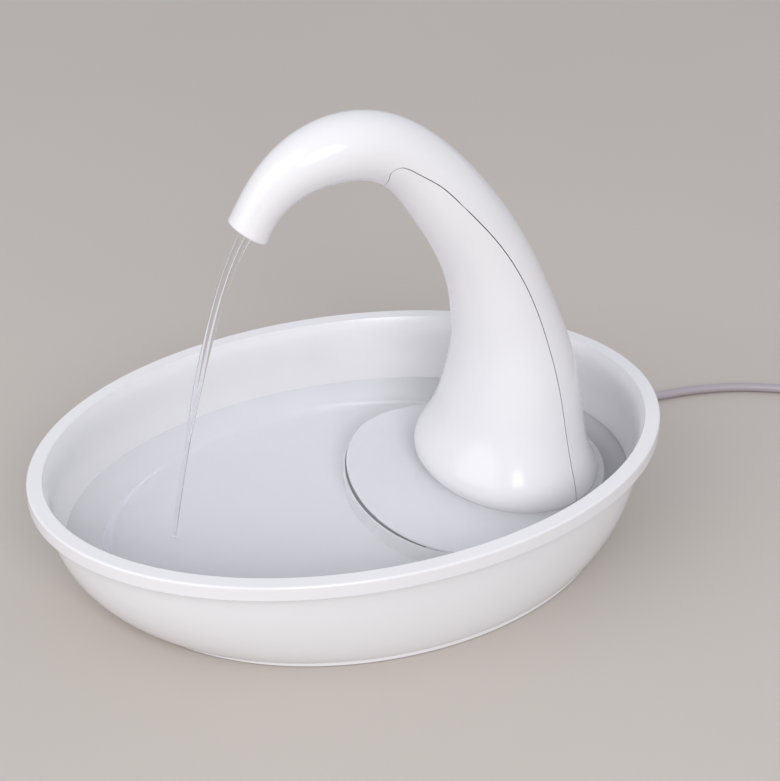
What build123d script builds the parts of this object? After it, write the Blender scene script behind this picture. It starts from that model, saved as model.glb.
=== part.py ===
"""Pet water fountain: oval drinking bowl, pump under a lid, and a hollow curved neck that pours.

Millimetres, +Z up.  The origin is on the floor under the middle of the bowl's rim.  +X runs along
the bowl to the end that carries the neck, and the spout points to -X.
"""
from build123d import *
import math
import os

# ---------------------------------------------------------------- driving dimensions

# clearances
fit_clearance = 0.4       # between parts that lift apart
seat_gap = 0.05           # between a part and the seat that it is pushed into
running_gap = 0.05        # round a shaft, spindle or sleeve that turns or slides
end_float = 0.4           # between the ends of the rotor and its bushes

# bowl
bowl_length = 380.0
bowl_width = 272.0
bowl_height = 74.0
rim_width = 8.75          # flat top of the rim, outer edge to inner edge
rim_band_height = 8.5     # turned-down outer band of the rim
rim_skin = 2.5            # thickness of the rim's top and band
rim_edge_round = 1.2
rim_lip_flare = 1.0       # the opening widens by this much above the rim
rim_lip_rise = 2.0
bowl_wall = 3.0
band_recess = 9.0         # how far the wall stands in from the rim, just under the band
foot_end_setback = 38.0   # rim to foot, at the two ends
foot_side_setback = 20.0  # rim to foot, at the two long sides
foot_shift = 5.0          # the foot sits this far towards the neck
wall_fullness = 2.3       # how long the wall stays upright before it turns in
heel_roundness = 0.73     # how round the turn at the bottom is
wall_drops = (0.0, 0.25, 0.5, 0.7, 0.86, 0.96, 1.0)
floor_round = 8.0         # round between the floor and the wall, inside
floor_underside = 2.2
floor_thickness = 2.4
foot_ring_bottom = 0.6
foot_ring_width = 3.0
foot_ring_proud = 0.6
foot_ring_sunk = 0.6      # how far the ring runs up into the wall
pad_diameter = 14.0
pad_edge_round = 0.5
pad_inset = 22.0          # pad centre from the foot ring, along each axis
pad_turns = (35, 145, 215, 325)

# head: housing, lid, neck and pump, all placed from the middle of the neck's foot
neck_setback = 86.0       # rim's neck end to the middle of the neck's foot

# pump housing ring and its lid
housing_center_back = -44.0  # widest point of the egg-shaped plan, from the neck
housing_front = 58.0
housing_rear = 92.0
housing_half_width = 80.0
housing_height = 19.4
housing_wall = 2.2
inlet_gap = 2.8           # slot under the lid's front edge, where water enters, at the tip
inlet_end_gap = 0.5       # slot where it ends, at the filter
inlet_setback = 2.6       # lid's edge stands back from the wall's face by this much, at the tip
inlet_sill = 0.8          # flat top of the housing wall under the slot, before it slopes in
inlet_sill_slope = 6.0    # height of the slope
notch_clearance = 0.8     # round the cord, where it passes the housing wall
lid_rear_overhang = 8.0
lid_thickness = 2.5
lid_edge_round = 0.8
lid_rim_depth = 4.0
lid_rim_wall = 1.8
pump_hole_half_length = 40.0
pump_hole_half_width = 42.0

# neck: stations up the column and round the arch, each an ellipse
#   x from the neck's middle, height above the lid, lean of the section, half depth, half width
neck_stations = [
    (3.0, 0.0, 0.0, 46.5, 56.5),
    (-0.4, 5.5, 0.0, 51.0, 60.0),
    (-6.2, 17.5, 0.0, 52.0, 60.0),
    (-5.8, 27.5, 0.0, 48.8, 55.3),
    (-3.6, 40.0, 0.0, 44.8, 49.6),
    (-2.3, 55.0, 1.0, 41.5, 45.0),
    (-2.3, 71.0, 4.0, 38.4, 40.9),
    (-6.4, 101.0, 11.0, 32.2, 33.0),
    (-12.1, 122.8, 16.5, 28.8, 29.2),
    (-19.2, 143.7, 22.0, 26.2, 26.3),
    (-28.5, 163.5, 28.0, 24.5, 24.5),
    (-39.7, 182.0, 33.5, 23.2, 23.2),
    (-52.0, 199.4, 38.5, 21.8, 21.8),
    (-64.6, 214.3, 46.5, 20.2, 20.2),
    (-84.5, 228.4, 68.0, 19.3, 19.3),
    (-106.4, 232.4, 91.0, 18.8, 18.8),
    (-127.1, 228.2, 112.0, 16.9, 16.9),
    (-143.9, 218.0, 130.0, 14.2, 14.2),
    (-155.2, 205.0, 141.0, 12.4, 12.4),
    (-162.2, 192.3, 144.0, 12.4, 12.4),
]
neck_wall = 2.4
neck_overrun = 1.0        # the hollow runs past the neck's two open ends
spout_edge_round = 1.0
seam_gap = 0.5
# seam between the front shell and the hood: x from the neck's middle, height above the lid
seam_points = [
    (-80.0, 224.2),
    (-70.2, 218.3),
    (-59.0, 210.2),
    (-47.1, 197.8),
    (-23.2, 168.1),
    (-4.0, 132.7),
    (6.0, 101.0),
    (11.5, 70.0),
    (14.5, 35.0),
    (16.5, -4.0),
]
seam_start_back = -86.5   # upright stretch of the seam under the arch, from the neck's middle
seam_start_drop = 30.0
seam_corner_radius = 5.0
seam_top_slope = (1, -0.35)
seam_foot_slope = (0.05, -1)

# screws that hold the front shell to the lid
boss_radius = 4.0
boss_height = 14.0
boss_back = -30.0         # from the neck's middle
boss_y = 33.0
screw_radius = 1.6
screw_length = 12.0
screw_head_radius = 3.0
screw_head_height = 1.9
screw_hole_clearance = 0.15
screw_drive_radius = 1.4
screw_drive_depth = 1.0

# pump
pump_rear_back = 28.0     # from the neck's middle
pump_length = 40.0
pump_width = 44.0
pump_height = 38.0
pump_corner_round = 6.0
pump_edge_round = 2.5
cup_height = 4.0
cup_radius = 6.5
cup_lip = 0.6
cup_dish = 1.8
cup_rim_width = 1.2
cup_neck_step = 0.5
cup_stem_radius = 2.5
cup_stem_height = 3.0
cup_spread_x = 26.0
cup_spread_y = 28.0
rotor_well_radius = 9.2
rotor_well_depth = 31.0
magnet_radius = 8.6
magnet_setback = 4.0      # from the pump's front face
shaft_radius = 1.2
bush_radius = 3.0
bush_length = 3.4
volute_radius = 19.0
volute_depth = 12.0
volute_wall = 2.2
volute_eye_radius = 9.0
spider_hub_wall = 1.5
spider_front_wall = 0.8
spider_arms = 3
spider_arm_width = 1.8
impeller_radius = 14.0
impeller_plate = 1.6
impeller_gap = 0.6        # plate to the pump's front face
vane_count = 6
vane_thickness = 1.3
vane_lean = 28.0          # degrees off the radius, at the hub
hub_radius = 3.2
outlet_wall = 1.6
outlet_top_rise = 7.0     # outlet collar above the volute's top
seal_width = 1.0
strainer_depth = 10.0
strainer_radius = 16.0
strainer_wall = 1.8
strainer_edge_round = 1.5
strainer_slots = 6
strainer_slot_width = 3.6
strainer_slot_inner = 8.4
strainer_slot_outer = 13.6
dial_radius = 7.0
dial_thickness = 1.8
dial_gap = 0.2            # dial and shutter to the strainer's front wall
dial_spindle_radius = 2.4
dial_grip_height = 2.2
dial_grip_width = 2.4
shutter_thickness = 1.2
shutter_blade_width = 4.6
shutter_edge_gap = 0.3

# delivery hose and spout nozzle
hose_outer_radius = 5.6
hose_bore_radius = 4.2
spigot_depth = 8.0
adaptor_flange = 1.5
adaptor_bore_radius = 3.0
barb_length = 12.0
barb_tip_chamfer = 0.6
nozzle_recess = 1.5       # nozzle's face inside the spout's edge
nozzle_length = 4.0
nozzle_clearance = 0.2    # round the nozzle, in the spout
nozzle_spigot_length = 6.0
nozzle_bore_radius = 3.0
nozzle_mouth_radius = 3.8
hose_end_run = 24.5       # straight end of the hose behind the nozzle
# the hose's bends, x from the neck's middle and z, from the pump up the neck and round the arch
hose_bends = [
    (-18.0, 98.0),
    (-21.0, 140.0),
    (-32.0, 182.0),
    (-52.0, 219.0),
    (-80.0, 249.0),
    (-112.0, 261.5),
]

# filter
cartridge_back = -72.0    # from the neck's middle
cartridge_depth = 12.0
cartridge_half_width = 52.0
cartridge_height = 16.5
cartridge_frame_bar = 2.2
cartridge_edge_round = 0.8
screen_thickness = 0.6
screen_recess = 0.6       # screen behind the frame's face
screen_slot = 2.2
screen_pitch = 4.4
screen_border = 1.6
guide_depth = 5.0
guide_wall = 1.8
foam_rise = 1.2           # top of the foam above the slot's sill

# mains cord
cord_diameter = 5.6
cord_lift = 0.1           # under the cord and its coil, to the floor
exit_angle = 17.0         # where the cord leaves the foot, round from +X
exit_height = 13.0
socket_wall = 2.4         # round the grommet, in the socket moulded across the heel
socket_inner_stand = 0.5  # socket's inner end from the heel
socket_outer_stand = 15.0
grommet_radius = 5.2
grommet_flange_radius = 7.2
grommet_flange = 2.0
grommet_bead_radius = 5.9
grommet_bead = 1.6
relief_length = 26.0
relief_root_radius = 4.8
relief_tip_radius = 3.5
relief_grooves = 5
relief_groove_width = 1.8
relief_groove_depth = 0.7
gland_radius = 4.3
gland_length = 10.0
lead_turn_setback = 35.5  # where the pump's lead joins the exit line, in from the heel
lead_first_run = 20.0
lead_turn = 28.0          # degrees
cord_first_run = 17.0
# route of the free cord from the strain relief to the coil, chosen by hand
cord_route = [
    (223.0, 65.4, 5.4),
    (243.5, 66.0, 2.9),
    (264.0, 64.3, 2.9),
    (283.5, 60.4, 2.9),
    (303.0, 54.0, 2.9),
    (324.1, 42.8, 2.9),
]
coil_center = (390.0, 51.6)
coil_mid_radius = 32.0
coil_band = 23.2
coil_height = 10.5
coil_round = 4.5
coil_in_turn = -120.0     # where the cord joins the coil, round from +X
coil_in_run = 33.0
coil_out_turn = -20.0
coil_out_run = 36.0
coil_out_height = 8.0
tie_turn = 100.0
tie_width = 9.0
tie_thickness = 1.0
plug_relief_length = 20.0
plug_relief_tip_radius = 3.4
plug_relief_root_radius = 4.8
plug_length = 30.0
plug_width = 34.0
plug_neck_width = 14.0
plug_thickness = 15.8
plug_edge_round = 2.5
plug_corner_round = 4.0
pin_radius = 2.0
pin_length = 19.0
pin_rooted = 5.0
pin_spacing = 18.6
pin_tip_round = 1.0

# ---------------------------------------------------------------- derived levels and places

half_length = bowl_length / 2
half_width = bowl_width / 2
band_bottom = bowl_height - rim_band_height
floor_top = floor_underside + floor_thickness
lid_underside = floor_top + housing_height
lid_top = lid_underside + lid_thickness
neck_x = half_length - neck_setback
housing_center_x = neck_x + housing_center_back
housing_front_x = housing_center_x - housing_front
cartridge_x = neck_x + cartridge_back
sill_top = lid_underside - inlet_gap
pump_bottom = floor_top + cup_height
pump_axis_z = pump_bottom + pump_height / 2
pump_rear_x = neck_x + pump_rear_back
pump_front_x = pump_rear_x - pump_length
volute_front_x = pump_front_x - volute_depth
strainer_front_x = volute_front_x - strainer_depth
outlet_x = pump_front_x - volute_depth / 2
outlet_top = pump_axis_z + volute_radius + outlet_top_rise
chamber_radius = volute_radius - volute_wall
front_bush_x = volute_front_x + spider_front_wall
rotor_start_x = front_bush_x + bush_length + end_float
plate_end_x = pump_front_x - impeller_gap
plate_start_x = plate_end_x - impeller_plate
magnet_start_x = pump_front_x + magnet_setback
well_end_x = pump_front_x + rotor_well_depth
barb_radius = hose_bore_radius - running_gap
adaptor_top = outlet_top + adaptor_flange
cord_radius = cord_diameter / 2
cord_height = cord_radius + cord_lift
coil_outer_turn = coil_mid_radius + coil_band / 2 - cord_radius
exit_direction = Vector(math.cos(math.radians(exit_angle)), math.sin(math.radians(exit_angle)), 0)

os.makedirs("parts", exist_ok=True)


def save(node, shape):
    """Write one node's solid or group of solids."""
    shape.label = node
    export_step(shape, f"parts/{node}.step")


# ---------------------------------------------------------------- shared forms


def oval(setback_end, setback_side, height, shift=0.0):
    """Level ellipse, set in from the rim's outer edge at the ends and at the sides."""
    plane = Plane(origin=(shift, 0, height))
    return plane * Ellipse(half_length - setback_end, half_width - setback_side)


def wall_section(drop, low, extra):
    """Section of the bowl's wall: drop is 0 under the rim band and 1 at the bottom, low."""
    turn = 1 - (1 - drop ** wall_fullness) ** heel_roundness
    end = band_recess + (foot_end_setback - band_recess) * turn + extra
    side = band_recess + (foot_side_setback - band_recess) * turn + extra
    return oval(end, side, band_bottom + (low - band_bottom) * drop, foot_shift * turn)


def egg(front, rear, half, height=0.0):
    """Egg-shaped face: two half ellipses that meet at the widest point of the pump housing."""
    outline = [
        EllipticalCenterArc((housing_center_x, 0), front, half, start_angle=90, arc_size=180),
        EllipticalCenterArc((housing_center_x, 0), rear, half, start_angle=-90, arc_size=180),
    ]
    return Pos(0, 0, height) * make_face(outline)


def egg_inset(inset, height=0.0):
    """The housing's plan, drawn in by inset all round."""
    return egg(housing_front - inset, housing_rear - inset, housing_half_width - inset, height)


def block(start, end, width, bottom, top):
    """Box across the middle plane: from one x to another, width wide, between two heights."""
    center = Pos((start + end) / 2, 0, (bottom + top) / 2)
    return center * Box(end - start, width, top - bottom)


def upright(radius, bottom, top, x=0.0, y=0.0):
    """Cylinder between two heights."""
    return Pos(x, y, bottom) * extrude(Circle(radius), top - bottom)


def pump_plane(x):
    """Plane across the pump's axis, facing the rear, with its first axis along Y."""
    return Plane(origin=(x, 0, pump_axis_z), x_dir=(0, 1, 0), z_dir=(1, 0, 0))


def on_axis(radius, start, end, bore=0.0):
    """Round piece on the pump's axis, from one x to another, bored if a bore is given."""
    section = Circle(radius) - Circle(bore) if bore else Circle(radius)
    return pump_plane(start) * extrude(section, end - start)


def exit_plane(reach):
    """Plane across the cord's exit line, facing out, at a distance from the foot's centre."""
    origin = Vector(foot_shift, 0, exit_height) + exit_direction * reach
    return Plane(origin=origin, x_dir=(0, 0, 1), z_dir=exit_direction)


def on_exit(radius, start, end, bore=0.0):
    """Round piece on the cord's exit line, bored if a bore is given."""
    section = Circle(radius) - Circle(bore) if bore else Circle(radius)
    return exit_plane(start) * extrude(section, end - start)


def exit_reach(setback_end, setback_side):
    """Distance along the exit line from the foot's centre to an oval."""
    end = half_length - setback_end
    side = half_width - setback_side
    return 1 / math.hypot(exit_direction.X / end, exit_direction.Y / side)


heel_reach = exit_reach(foot_end_setback, foot_side_setback)
lead_turn_reach = heel_reach - lead_turn_setback
socket_inner = heel_reach - socket_inner_stand
socket_outer = heel_reach + socket_outer_stand
relief_start = socket_outer + grommet_flange
relief_end = relief_start + relief_length


def bend_radii(points):
    """Radius of each corner of a route: as large as the two runs beside it allow."""
    radii = []
    for before, corner, after in zip(points, points[1:], points[2:]):
        run_in = Vector(*corner) - Vector(*before)
        run_out = Vector(*after) - Vector(*corner)
        half_turn = math.radians(run_in.get_angle(run_out)) / 2
        radii.append(0.45 * min(run_in.length, run_out.length) / math.tan(half_turn))
    return radii


def routed_tube(name, points, radius, bore=0.0):
    """Tube of straight runs joined by tangent arcs; prints its bends, its length and its volume."""
    radii = bend_radii(points)
    path = FilletPolyline(*points, radius=radii)
    start = Plane(origin=path @ 0, z_dir=path % 0)
    section = Circle(radius) - Circle(bore) if bore else Circle(radius)
    tube = sweep(start * section, path=path)
    print(name, "radii", [round(value) for value in radii], "length", round(path.length, 1))
    print(name, "volume over section times length", round(tube.volume / (section.area * path.length), 4))
    return tube


# ---------------------------------------------------------------- bowl


def make_rim():
    """Flat rim with a turned-down band, hollow underneath."""
    rim = extrude(oval(0, 0, band_bottom), rim_band_height)
    rim = fillet(rim.edges().group_by(Axis.Z)[-1], rim_edge_round)
    return rim - extrude(oval(rim_skin, rim_skin, band_bottom), rim_band_height - rim_skin)


def make_foot_ring():
    ring_end = foot_end_setback - foot_ring_proud
    ring_side = foot_side_setback - foot_ring_proud
    outer = oval(ring_end, ring_side, foot_ring_bottom, foot_shift)
    inner = oval(ring_end + foot_ring_width, ring_side + foot_ring_width, foot_ring_bottom, foot_shift)
    return extrude(outer - inner, floor_underside - foot_ring_bottom + foot_ring_sunk)


def make_bowl():
    neck_setback = rim_width - bowl_wall
    outer = loft(
        [oval(neck_setback, neck_setback, bowl_height - rim_skin / 2)]
        + [wall_section(drop, floor_underside, 0.0) for drop in wall_drops]
    )
    mouth_setback = rim_width - rim_lip_flare
    mouth = oval(mouth_setback, mouth_setback, bowl_height + rim_lip_rise)
    rim_edge = oval(rim_width, rim_width, bowl_height)
    cavity = loft([mouth, rim_edge] + [wall_section(drop, floor_top, bowl_wall) for drop in wall_drops])
    cavity = fillet(cavity.edges().group_by(Axis.Z)[0], floor_round)
    bowl = outer + make_rim() + make_foot_ring() - cavity
    bowl += on_exit(grommet_radius + socket_wall, socket_inner, socket_outer)
    return bowl - on_exit(grommet_radius + seat_gap, socket_inner, socket_outer)


def make_feet():
    reach_x = half_length - foot_end_setback - pad_inset
    reach_y = half_width - foot_side_setback - pad_inset
    pads = []
    for turn in pad_turns:
        x = foot_shift + reach_x * math.cos(math.radians(turn))
        y = reach_y * math.sin(math.radians(turn))
        pad = upright(pad_diameter / 2, 0, floor_underside, x, y)
        pads.append(fillet(pad.edges().group_by(Axis.Z)[0], pad_edge_round))
    return Compound(children=pads)


# ---------------------------------------------------------------- pump housing and lid


def make_guide(side):
    """Channel for one end of the filter cartridge, with a web out to the housing wall."""
    channel_y = cartridge_half_width + fit_clearance
    half_channel = cartridge_depth / 2 + fit_clearance
    half_block = half_channel + guide_wall
    height = sill_top - floor_top
    jaws = Pos(cartridge_x, channel_y, floor_top) * Box(
        2 * half_block, guide_depth, height, align=(Align.CENTER, Align.MAX, Align.MIN)
    )
    jaws -= Pos(cartridge_x, channel_y, floor_top) * Box(
        2 * half_channel, guide_depth, height, align=(Align.CENTER, Align.MAX, Align.MIN)
    )
    back = Pos(cartridge_x, channel_y, floor_top) * Box(
        2 * half_block, guide_wall, height, align=(Align.CENTER, Align.MIN, Align.MIN)
    )
    web = Pos(cartridge_x, channel_y, floor_top) * Box(
        guide_wall, housing_half_width, height, align=(Align.CENTER, Align.MIN, Align.MIN)
    )
    guide = jaws + back + (web & extrude(egg_inset(housing_wall / 2, floor_top), height))
    return guide if side > 0 else mirror(guide, about=Plane.XZ)


def make_housing():
    wall = extrude(egg_inset(0, floor_top) - egg_inset(housing_wall, floor_top), housing_height)
    slot = Polyline(
        (housing_front_x - housing_wall, sill_top),
        (cartridge_x, lid_underside - inlet_end_gap),
        (cartridge_x, lid_top),
        (housing_front_x - housing_wall, lid_top),
        close=True,
    )
    wall -= extrude(Plane.XZ * make_face(slot), half_width, both=True)
    slope_foot = egg_inset(housing_wall, lid_underside - inlet_sill_slope)
    slope = loft([slope_foot, egg_inset(inlet_sill, lid_underside)])
    wall -= slope & block(housing_front_x, cartridge_x, bowl_width, floor_top, lid_underside)
    for side in (1, -1):
        wall += make_guide(side)
    exit_floor = Plane(origin=(foot_shift, 0, floor_top), x_dir=exit_direction)
    notch_top = exit_height + cord_radius + notch_clearance
    notch = exit_floor * Pos(lead_turn_reach, 0, 0) * Box(
        heel_reach - lead_turn_reach,
        cord_diameter + 2 * notch_clearance,
        notch_top - floor_top,
        align=(Align.MIN, Align.CENTER, Align.MIN),
    )
    return wall - notch


def boss_places():
    """Screw places under the front shell."""
    return [(neck_x + boss_back, boss_y), (neck_x + boss_back, -boss_y)]


def make_lid():
    plate = extrude(
        egg(housing_front - inlet_setback, housing_rear + lid_rear_overhang, housing_half_width, lid_underside),
        lid_thickness,
    )
    plate = fillet(plate.edges().group_by(Axis.Z)[-1], lid_edge_round)
    rim_inset = housing_wall + fit_clearance
    rim_bottom = lid_underside - lid_rim_depth
    rim_plan = egg_inset(rim_inset, rim_bottom) - egg_inset(rim_inset + lid_rim_wall, rim_bottom)
    rim = extrude(rim_plan, lid_rim_depth)
    behind_filter = cartridge_x + cartridge_depth / 2 + guide_wall + 2 * fit_clearance
    rim &= block(behind_filter, half_length, bowl_width, rim_bottom, lid_underside)
    hole = Pos(neck_x, 0, lid_underside) * extrude(
        Ellipse(pump_hole_half_length, pump_hole_half_width), lid_thickness
    )
    lid = plate + rim - hole
    for x, y in boss_places():
        lid -= upright(screw_radius + screw_hole_clearance, lid_underside, lid_top, x, y)
    return lid


# ---------------------------------------------------------------- neck


def station_plane(station, shift=0.0):
    """Plane of one neck station, moved along the neck by shift."""
    back, rise, lean = station[:3]
    normal = Vector(-math.sin(math.radians(lean)), 0, math.cos(math.radians(lean)))
    origin = Vector(neck_x + back, 0, lid_top + rise) + normal * shift
    return Plane(origin=origin, x_dir=(0, 1, 0), z_dir=normal)


def neck_loft(inset, overrun=0.0):
    """Solid through the neck's stations, drawn in by inset, its ends carried on by overrun."""
    last = len(neck_stations) - 1
    sections = []
    for index, station in enumerate(neck_stations):
        shift = {0: -overrun, last: overrun}.get(index, 0.0)
        depth, width = station[3:]
        sections.append(station_plane(station, shift) * Ellipse(width - inset, depth - inset))
    return loft(sections)


def seam_line():
    """Line of the seam, seen from the side, in the plane of the neck's symmetry."""
    points = [(neck_x + back, lid_top + rise) for back, rise in seam_points]
    start_x = neck_x + seam_start_back
    top_z = points[0][1]
    upright_part = Line((start_x, top_z - seam_start_drop), (start_x, top_z - seam_corner_radius))
    turn = Bezier(upright_part @ 1, (start_x, top_z), points[0])
    return upright_part + turn + Spline(*points, tangents=[seam_top_slope, seam_foot_slope])


def make_neck():
    """Front shell and hood: one hollow form, parted along the seam."""
    outer = neck_loft(0.0)
    tip = outer.faces().sort_by(Axis.X)[0]
    outer = fillet(tip.edges(), spout_edge_round)
    shell = outer - neck_loft(neck_wall, neck_overrun)
    shell &= block(-half_length, half_length, bowl_width, lid_top, 2 * bowl_length)
    kerf = extrude(Plane.XZ * trace(seam_line(), seam_gap), housing_half_width, both=True)
    halves = (shell - kerf).solids().sort_by(SortBy.VOLUME)[-2:]
    front, hood = sorted(halves, key=lambda solid: solid.bounding_box().max.Z)
    bosses = [upright(boss_radius, lid_top, lid_top + boss_height, x, y) & outer for x, y in boss_places()]
    for boss in bosses:
        front += boss
    for x, y in boss_places():
        front -= upright(screw_radius + seat_gap, lid_top, lid_underside + screw_length, x, y)
    return front, hood


def make_screws():
    screws = []
    for x, y in boss_places():
        head = upright(screw_head_radius, lid_underside - screw_head_height, lid_underside, x, y)
        drive = Pos(x, y, lid_underside - screw_head_height) * extrude(
            RegularPolygon(screw_drive_radius, 6), screw_drive_depth
        )
        shank = upright(screw_radius, lid_underside, lid_underside + screw_length, x, y)
        screws.append(head - drive + shank)
    return Compound(children=screws)


# ---------------------------------------------------------------- pump


def lead_route():
    """Route of the pump's lead: out of the gland, round to the exit line, and out to the relief's tip."""
    corner = exit_plane(lead_turn_reach).origin
    heading = exit_direction.rotate(Axis.Z, lead_turn)
    return [tuple(corner - heading * lead_first_run), tuple(corner), tuple(exit_plane(relief_end).origin)]


def gland_line(radius, length):
    """Cylinder on the first run of the pump's lead, from the lead's end."""
    start, corner, _ = lead_route()
    plane = Plane(origin=start, z_dir=Vector(*corner) - Vector(*start))
    return plane * extrude(Circle(radius), length)


def cup_places():
    middle_x = pump_rear_x - pump_length / 2
    half_x = cup_spread_x / 2
    half_y = cup_spread_y / 2
    return [(middle_x + side_x * half_x, side_y * half_y) for side_x in (1, -1) for side_y in (1, -1)]


def make_pump_body():
    body = block(pump_front_x, pump_rear_x, pump_width, pump_bottom, pump_bottom + pump_height)
    body = fillet(body.edges().filter_by(Axis.X), pump_corner_round)
    body = fillet(body.edges().group_by(Axis.X)[-1], pump_edge_round)
    body += gland_line(gland_radius, gland_length)
    body -= gland_line(cord_radius + seat_gap, gland_length)
    body -= on_axis(rotor_well_radius, pump_front_x, well_end_x)
    body -= on_axis(bush_radius + seat_gap, well_end_x, well_end_x + bush_length)
    for x, y in cup_places():
        body -= upright(cup_stem_radius + seat_gap, pump_bottom, pump_bottom + cup_stem_height, x, y)
    return body


def make_cups():
    profile = Polyline(
        (0, floor_top + cup_dish),
        (cup_radius - cup_rim_width, floor_top),
        (cup_radius, floor_top),
        (cup_radius, floor_top + cup_lip),
        (cup_stem_radius + cup_neck_step, pump_bottom),
        (cup_stem_radius, pump_bottom),
        (cup_stem_radius, pump_bottom + cup_stem_height),
        (0, pump_bottom + cup_stem_height),
        close=True,
    )
    cup = revolve(Plane.XZ * make_face(profile), Axis.Z)
    return Compound(children=[Pos(x, y, 0) * cup for x, y in cup_places()])


def make_volute_cover():
    """Round pump chamber with a bearing spider in its eye and an outlet collar on top."""
    cover = on_axis(volute_radius, volute_front_x, pump_front_x)
    cover += upright(hose_bore_radius + outlet_wall, pump_axis_z, outlet_top, outlet_x)
    cover -= on_axis(chamber_radius, volute_front_x + volute_wall, pump_front_x)
    cover -= on_axis(volute_eye_radius, volute_front_x, volute_front_x + volute_wall)
    hub_outer = bush_radius + spider_hub_wall
    cover += on_axis(hub_outer, volute_front_x, front_bush_x + bush_length)
    arm_reach = (volute_eye_radius + chamber_radius) / 2
    for arm in range(spider_arms):
        bar = Pos(arm_reach / 2, 0) * Rectangle(arm_reach, spider_arm_width)
        bar = Rot(0, 0, arm * 360 / spider_arms) * bar
        cover += pump_plane(volute_front_x) * extrude(bar, volute_wall)
    cover -= on_axis(bush_radius + seat_gap, front_bush_x, front_bush_x + bush_length)
    cover -= upright(hose_bore_radius, pump_axis_z + hub_outer, outlet_top, outlet_x) - on_axis(
        hub_outer + spider_hub_wall, volute_front_x, pump_front_x
    )
    groove_middle = volute_radius - volute_wall / 2
    groove_half = seal_width / 2 + seat_gap
    return cover - on_axis(
        groove_middle + groove_half, pump_front_x - seal_width, pump_front_x, groove_middle - groove_half
    )


def make_seal():
    middle = volute_radius - volute_wall / 2
    return on_axis(middle + seal_width / 2, pump_front_x - seal_width, pump_front_x, middle - seal_width / 2)


def make_impeller():
    """Hub, back plate and swept vanes."""
    wheel = on_axis(hub_radius, rotor_start_x, magnet_start_x)
    wheel += on_axis(impeller_radius, plate_start_x, plate_end_x)
    for index in range(vane_count):
        bar = Rot(0, 0, vane_lean) * Pos(impeller_radius / 2, 0) * Rectangle(impeller_radius, vane_thickness)
        vane = Rot(0, 0, index * 360 / vane_count) * Pos(hub_radius / 2, 0) * bar
        wheel += pump_plane(rotor_start_x) * extrude(vane, plate_start_x - rotor_start_x)
    wheel &= on_axis(impeller_radius, rotor_start_x, magnet_start_x)
    return wheel - on_axis(shaft_radius + running_gap, rotor_start_x, magnet_start_x)


def make_magnet():
    return on_axis(magnet_radius, magnet_start_x, well_end_x - end_float, shaft_radius + running_gap)


def make_strainer():
    """Slotted cap over the pump's intake, with a hole for the flow dial's spindle."""
    cap = on_axis(strainer_radius, strainer_front_x, volute_front_x)
    cap = fillet(cap.edges().group_by(Axis.X)[0], strainer_edge_round)
    cap -= on_axis(strainer_radius - strainer_wall, strainer_front_x + strainer_wall, volute_front_x)
    cap -= on_axis(dial_spindle_radius + running_gap, strainer_front_x, strainer_front_x + strainer_wall)
    slot_length = strainer_slot_outer - strainer_slot_inner
    slot_middle = (strainer_slot_outer + strainer_slot_inner) / 2
    for index in range(strainer_slots):
        slot = Rot(0, 0, index * 360 / strainer_slots) * Pos(slot_middle, 0) * SlotOverall(
            slot_length, strainer_slot_width
        )
        cap -= pump_plane(strainer_front_x) * extrude(slot, strainer_wall)
    return cap


def make_flow_dial():
    """Knob outside the strainer, spindle through it, and a bladed shutter behind its slots."""
    back_x = strainer_front_x - dial_gap
    face_x = back_x - dial_thickness
    shutter_x = strainer_front_x + strainer_wall + dial_gap
    knob = on_axis(dial_radius, face_x, back_x)
    grip = Rectangle(dial_grip_width, 2 * dial_radius) & Circle(dial_radius)
    knob += pump_plane(face_x - dial_grip_height) * extrude(grip, dial_grip_height)
    dial = knob + on_axis(dial_spindle_radius, back_x, shutter_x + shutter_thickness)
    reach = strainer_radius - strainer_wall - shutter_edge_gap
    blades = Circle(dial_spindle_radius + strainer_wall)
    for index in range(strainer_slots):
        turn = (index + 1 / 2) * 360 / strainer_slots
        blades += Rot(0, 0, turn) * Pos(reach / 2, 0) * Rectangle(reach, shutter_blade_width)
    blades &= Circle(reach)
    return dial + pump_plane(shutter_x) * extrude(blades, shutter_thickness)


# ---------------------------------------------------------------- water path


def make_adaptor():
    """Hose adaptor: pushed into the outlet collar, with a flange and a plain tail for the hose."""
    body = upright(hose_bore_radius - seat_gap, outlet_top - spigot_depth, outlet_top, outlet_x)
    body += upright(hose_bore_radius + outlet_wall, outlet_top, adaptor_top, outlet_x)
    tail = upright(barb_radius, adaptor_top, adaptor_top + barb_length, outlet_x)
    body += chamfer(tail.edges().group_by(Axis.Z)[-1], barb_tip_chamfer)
    return body - upright(adaptor_bore_radius, outlet_top - spigot_depth, adaptor_top + barb_length, outlet_x)


def spout_plane(back):
    """Plane across the spout, facing out, at a distance back from its open end."""
    return station_plane(neck_stations[-1], -back)


def make_hose():
    hose_end = nozzle_recess + nozzle_length
    last_bend = spout_plane(hose_end + hose_end_run).origin
    route = [(outlet_x, 0, adaptor_top)]
    route += [(neck_x + back, 0, z) for back, z in hose_bends]
    route += [tuple(last_bend), tuple(spout_plane(hose_end).origin)]
    return routed_tube("delivery_hose", route, hose_outer_radius, hose_bore_radius)


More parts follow.
